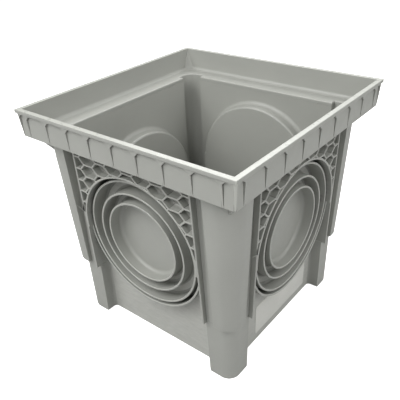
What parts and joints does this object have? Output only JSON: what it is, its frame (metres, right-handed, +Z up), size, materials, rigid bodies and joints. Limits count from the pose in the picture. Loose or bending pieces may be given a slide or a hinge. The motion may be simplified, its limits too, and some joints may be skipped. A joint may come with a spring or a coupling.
{
  "type": "drain inspection chamber",
  "caption": "Square moulded drain inspection chamber with a grate seat in its rim, round pipe collars and honeycomb ribs on each wall, hollow corner posts and a closed floor.",
  "frame": {"origin": "centre of the base, on its underside", "axes": "+Z up, out of the open top; the walls face +X, -X, +Y and -Y, and the outlet wall with the lower collars faces -X"},
  "size_m": [0.315, 0.315, 0.3],
  "materials": {
    "body": "satin",
    "label": "matte"
  },
  "bodies": {
    "root": {"chamber_body": "body", "label": "label"}
  },
  "joints": []
}
